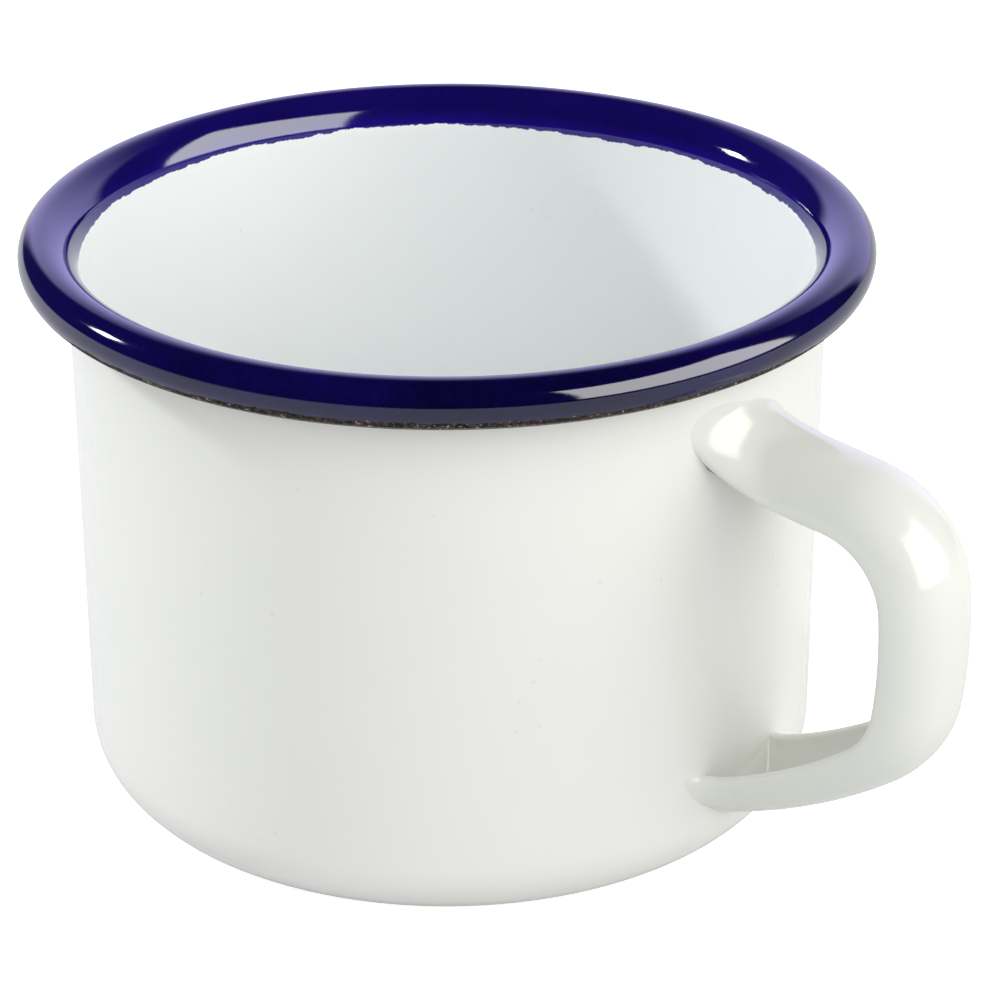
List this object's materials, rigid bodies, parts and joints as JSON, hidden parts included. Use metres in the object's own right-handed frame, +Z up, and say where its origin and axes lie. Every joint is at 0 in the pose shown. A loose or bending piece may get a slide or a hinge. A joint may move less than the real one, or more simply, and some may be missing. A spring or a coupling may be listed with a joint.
{
  "type": "enamelled mug",
  "caption": "Small straight-sided enamelled steel mug with a rolled blue rim and an open channel handle for a finger.",
  "frame": {"origin": "centre of the flat foot, where the cup's axis meets the surface that it stands on", "axes": "+Z up the cup's axis, +X from the axis towards the handle, +Y across the handle"},
  "size_m": [0.1098, 0.09, 0.0635],
  "materials": {
    "sheet_steel": "dull, dark where the ground coat is fired on",
    "weld_steel": "dull weld metal",
    "outside_white": "glossy vitreous enamel",
    "inside_white": "glossy vitreous enamel",
    "cobalt_blue": "very glossy vitreous enamel",
    "ground_coat": "rough speckled dark ground coat"
  },
  "bodies": {
    "root": {"cup_shell": "sheet_steel", "inside_enamel": "inside_white", "outside_enamel": "outside_white", "rim_enamel": "cobalt_blue", "ground_coat_edge": "ground_coat", "handle_strap": "sheet_steel", "handle_enamel": "outside_white", "upper_weld": "weld_steel", "lower_weld": "weld_steel", "upper_root_enamel": "outside_white", "lower_root_enamel": "outside_white"}
  },
  "joints": []
}
